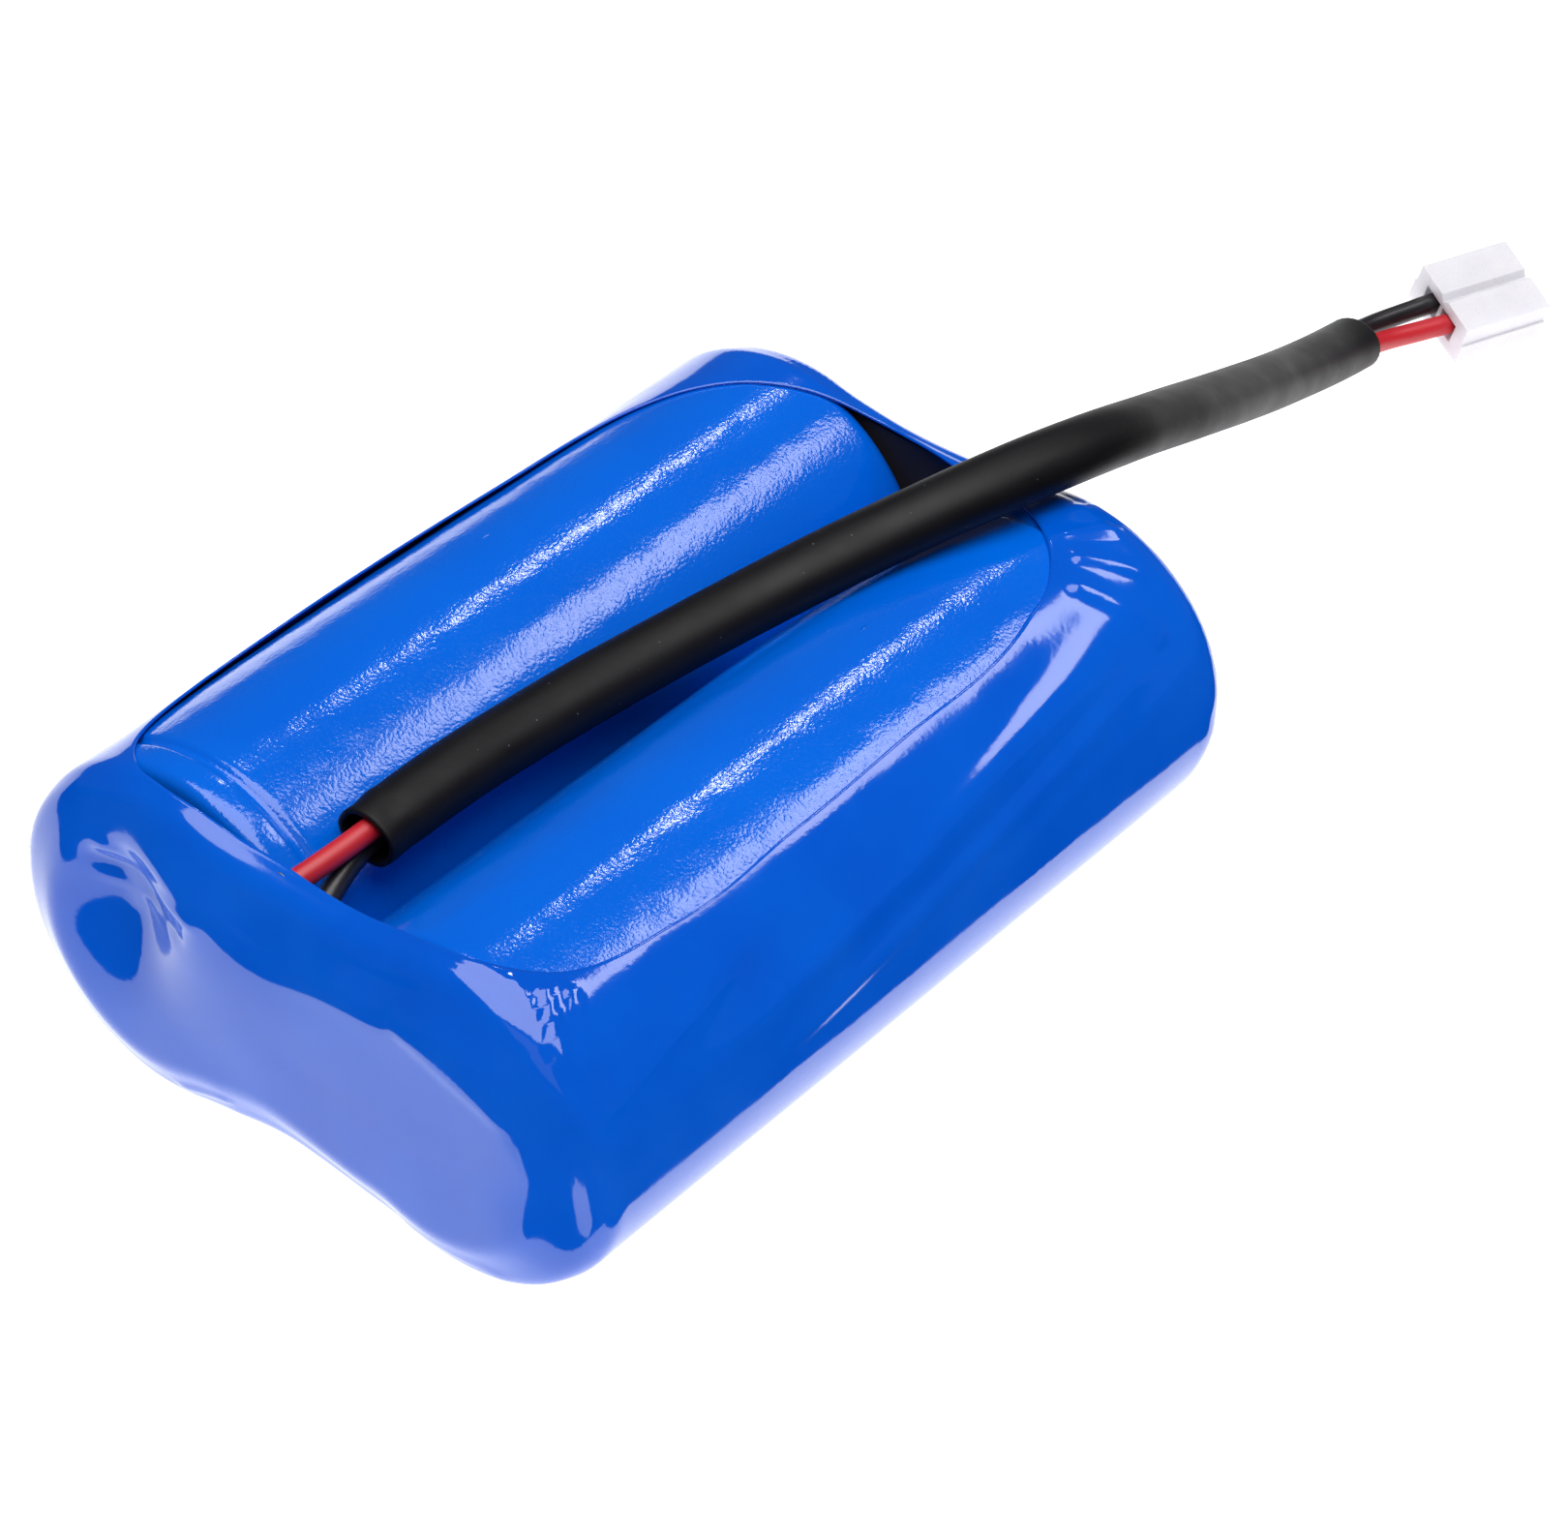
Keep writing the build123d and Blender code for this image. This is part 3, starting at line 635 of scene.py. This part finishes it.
# the lead: points of its soft route in mm, from the near end to the plug
leadShape = {
    "wire": 1.7, "sleeve": 4.8, "sleeve wall": 0.40, "mouth": 4, "flat": 0.90, "wide": 1.06,
    "red": [(-32.3, 2.54, 23.54), (-27.5, 1.2, 24.8), (-20.01, 1.5, 25.3), (-8.02, 1.22, 24.81),
            (3.85, -0.78, 25.27), (14.91, -4.25, 26.91), (22.03, -7.83, 28.74), (29.2, -11.21, 29.97),
            (37.77, -12.63, 29.05), (48.55, -10.95, 24.52), (62.26, -7.7, 17.51), (75.81, -4.15, 10.5),
            (86.71, -1.5, 5.38), (93.28, -0.89, 3.35), (98.15, -2.94, 3.06), (102.13, -4.49, 2.89)],
    "black": [(-32.3, 0.4, 21.0), (-27.8, 1.85, 23.3), (-19.99, 1.75, 23.6), (-7.98, 1.58, 22.99),
              (4.15, -0.22, 23.53), (15.49, -3.55, 25.29), (22.77, -6.97, 27.26), (29.6, -9.99, 28.63),
              (37.43, -11.17, 27.95), (47.85, -9.45, 23.68), (61.54, -6.1, 16.89), (75.19, -2.45, 10.1),
              (86.29, 0.3, 5.22), (93.52, 1.29, 3.45), (99.05, -0.66, 3.54), (103.01, -2.29, 3.71)],
    "centre": [(-25.93, 1.52, 24.2), (-20.0, 1.6, 24.5), (-8.0, 1.4, 23.9), (4.0, -0.5, 24.4),
               (15.2, -3.9, 26.1), (22.4, -7.4, 28.2), (29.4, -10.6, 29.6), (37.6, -11.9, 28.7),
               (48.2, -10.2, 24.1), (61.9, -6.9, 17.2), (75.5, -3.3, 10.3), (86.5, -0.6, 5.3),
               (90.78, -0.1, 4.12)],
}


def routeCurve(name, points, diameter):
    curve = bpy.data.curves.new(name, "CURVE")
    curve.dimensions = "3D"
    spline = curve.splines.new("NURBS")
    spline.points.add(len(points) - 1)
    for point, place in zip(spline.points, points):
        point.co = (place[0] * mm, place[1] * mm, place[2] * mm, 1.0)
    spline.order_u = 3
    spline.use_endpoint_u = True
    spline.resolution_u = 12
    curve.resolution_u = 12
    curve.bevel_depth = diameter / 2 * mm
    curve.bevel_resolution = 8
    curve.use_fill_caps = diameter > 0
    return bpy.data.objects.new(name, curve)


def followed(points):
    # points read from the smooth route, for a tube that follows it
    line = routeCurve("line", points, 0.0)
    line.data.bevel_depth = 0.0
    line.data.use_fill_caps = False
    bpy.context.scene.collection.objects.link(line)
    bpy.context.view_layer.update()
    mesh = bpy.data.meshes.new_from_object(line)
    places = [v.co.copy() for v in mesh.vertices]
    bpy.data.meshes.remove(mesh)
    bpy.data.objects.remove(line)
    return places


def lengthOf(places):
    return sum((b - a).length for a, b in zip(places, places[1:]))


def makeWire(name, key, finish, node):
    wire = routeCurve(name, leadShape[key], leadShape["wire"])
    bpy.context.scene.collection.objects.link(wire)
    dress(wire, finish)
    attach(wire, "root")
    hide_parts(node)
    places = followed(leadShape[key])
    print(name, "length", round(lengthOf(places), 4))


def makeTubing():
    s = leadShape
    places = followed(s["centre"])
    tube = routeCurve("tube", s["centre"], s["sleeve"])
    tube.data.use_fill_caps = False
    tube.data.resolution_u = 40
    tube.data.splines[0].resolution_u = 40
    tube.data.bevel_resolution = 12
    bpy.context.scene.collection.objects.link(tube)
    bpy.context.view_layer.update()
    mesh = bpy.data.meshes.new_from_object(tube)
    bpy.data.objects.remove(tube)
    mesh.name = "lead_tubing"
    bm = bmesh.new()
    bm.from_mesh(mesh)
    bmesh.ops.remove_doubles(bm, verts=bm.verts, dist=0.001 * mm)
    far = [0.0]
    for a, b in zip(places, places[1:]):
        far.append(far[-1] + (b - a).length)
    last = len(places) - 1
    heading = [(places[min(i + 1, last)] - places[max(i - 1, 0)]).normalized() for i in range(last + 1)]
    for vert in bm.verts:
        best = min(range(last), key=lambda i: (vert.co - (places[i] + places[i + 1]) / 2).length)
        run = places[best + 1] - places[best]
        t = max(-0.5, min(1.5, (vert.co - places[best]).dot(run) / run.length_squared))
        centre = places[best] + run * t
        reached = (far[best] + run.length * t) / mm
        along = heading[best].lerp(heading[best + 1], max(0.0, min(t, 1.0))).normalized()
        across = along.cross(Vector((0, 0, 1))).normalized()
        above = across.cross(along)
        off = vert.co - centre
        u, w = off.dot(across) / mm, off.dot(above) / mm
        angle = math.atan2(w, u)
        # the tubing is pressed a little flat over the two wires, less at its mouth
        mouth = bell(reached, 0, s["mouth"])
        swell = 1.0 + 0.02 * noise.noise(Vector((reached / 13, 2.2, 0)))
        swell += 0.010 * noise.noise(Vector((reached / 9, math.cos(angle) * 1.2, math.sin(angle) * 1.2)))
        # dents where the tubing gives over the wires, and crumples at the mouth
        dent = -0.10 * bell(angle, 1.2, 0.5) * (0.5 + 0.5 * noise.noise(Vector((reached / 14, 7, 0))))
        crumple = 0.16 * mouth * noise.noise(Vector((reached / 1.6, angle * 1.3, 3)))
        swell *= 1 + (dent + crumple) / (s["sleeve"] / 2)
        u *= (s["wide"] - 0.03 * mouth) * swell
        w *= (s["flat"] + 0.02 * mouth) * swell
        vert.co = centre + (across * u + above * w) * mm
    bmesh.ops.recalc_face_normals(bm, faces=bm.faces)
    for face in bm.faces:
        face.smooth = True
    bm.to_mesh(mesh)
    bm.free()
    sleeve = newPiece("lead_tubing", mesh, finishes["tubing"], "black_sleeve", "lead_sleeve")
    addWall(sleeve, s["sleeve wall"])
    print("lead tubing length", round(far[-1], 4))


makeTubing()
makeWire("red_lead", "red", finishes["redWire"], "red_wire")
makeWire("black_lead", "black", finishes["blackWire"], "black_wire")
print("lead made")


# the stage, in metres, with angles in degrees
stage = {
    "floor": 6.0, "glow": 1.15, "world": 0.07, "lens": 116.33, "roll": 1.616,
    "camera": (-0.2101, -0.17947, 0.24166), "target": (0.008517, -0.006482, 0.01323),
    # dark cards of painted shadow, standing in for the pack's shadow on the floor and seen only in
    # reflections: left, right, front, back
    "cards": {"card beside the pack": (-0.041, 3.0, -3.0, -0.032),
              "card off the corner": (-0.061, -0.041, -3.0, -0.0235),
              "card before the pack": (-3.0, -0.061, -3.0, 3.0)},
    # lamps: direction round the pack, height above it, distance, two sizes, watts
    "lamps": {"overhead softbox": (-140, 84, 1.0, 1.0, 1.0, 13.8),
              "narrow strip": (31, 46, 1.0, 0.06, 0.09, 0.36),
              "rear softbox": (-24, 49, 1.0, 0.26, 0.16, 0.9),
              "camera side fill": (-150, 35, 1.4, 0.8, 0.8, 0.8)},
}


def makeFloor():
    bm = bmesh.new()
    bmesh.ops.create_grid(bm, x_segments=1, y_segments=1, size=stage["floor"] / 2)
    mesh = bpy.data.meshes.new("table")
    bm.to_mesh(mesh)
    bm.free()
    floor = bpy.data.objects.new("table", mesh)
    bpy.context.scene.collection.objects.link(floor)
    # matt white acrylic, lit through from below: shadowless
    finish, tree, shader, place = newFinish("white acrylic table", {
        "Base Color": linear("#BDBDBF"), "Roughness": 0.7, "IOR": 1.49,
        "Emission Color": linear("#FFFFFF"), "Emission Strength": stage["glow"]})
    blendColours(tree, shader, "#BABABC", "#C0C0C2", addCloud(tree, place, 1000 / 3, 2.0))
    dress(floor, finish)


def makeCard(name, left, right, front, back):
    # a dark sheet laid by the pack as painted shadow: it stands in for the pack's shadow on the floor, seen
    # only in its reflections
    bm = bmesh.new()
    corners = ((left, front), (right, front), (right, back), (left, back))
    bm.faces.new([bm.verts.new((x, y, 0.3 * mm)) for x, y in corners])
    mesh = bpy.data.meshes.new(name)
    bm.to_mesh(mesh)
    bm.free()
    card = bpy.data.objects.new(name, mesh)
    bpy.context.scene.collection.objects.link(card)
    card.visible_camera = False
    card.visible_shadow = False
    card.visible_diffuse = False
    # painted shadow: a near-black colour for the shadow the pack would cast on the floor here
    finish, tree, shader, place = newFinish("painted shadow card", {
        "Base Color": linear("#060607"), "Roughness": 0.95, "Specular IOR Level": 0.0})
    blendColours(tree, shader, "#050506", "#09090A", addCloud(tree, place, 2.5, 2.0))
    dress(card, finish)


def makeLamp(name, azimuth, elevation, distance, sizeX, sizeY, watts):
    a, e = math.radians(azimuth), math.radians(elevation)
    towards = Vector((math.cos(a) * math.cos(e), math.sin(a) * math.cos(e), math.sin(e)))
    data = bpy.data.lights.new(name, "AREA")
    data.shape = "RECTANGLE"
    data.size, data.size_y = sizeX, sizeY
    data.energy = watts
    lamp = bpy.data.objects.new(name, data)
    lamp.location = Vector(stage["target"]) + towards * distance
    lamp.rotation_euler = towards.to_track_quat("Z", "Y").to_euler()
    bpy.context.scene.collection.objects.link(lamp)


makeFloor()
for name, card in stage["cards"].items():
    makeCard(name, *card)
for name, lamp in stage["lamps"].items():
    makeLamp(name, *lamp)

world = bpy.data.worlds.new("studio")
world.use_nodes = True
world.node_tree.nodes["Background"].inputs["Color"].default_value = linear("#E8E9F2")
world.node_tree.nodes["Background"].inputs["Strength"].default_value = stage["world"]
bpy.context.scene.world = world
bpy.context.scene.view_settings.view_transform = "Standard"

camera = bpy.data.objects.new("camera", bpy.data.cameras.new("camera"))
camera.data.lens = stage["lens"]
camera.data.sensor_width = 36.0
camera.data.clip_start = 0.01
back = (Vector(stage["camera"]) - Vector(stage["target"])).normalized()
right = (-back).cross(Vector((0, 0, 1))).normalized()
up = right.cross(-back)
tilt = math.radians(stage["roll"])
right, up = right * math.cos(tilt) + up * math.sin(tilt), up * math.cos(tilt) - right * math.sin(tilt)
camera.matrix_world = Matrix.Translation(stage["camera"]) @ Matrix((right, up, back)).transposed().to_4x4()
bpy.context.scene.collection.objects.link(camera)
bpy.context.scene.camera = camera
print("stage made")
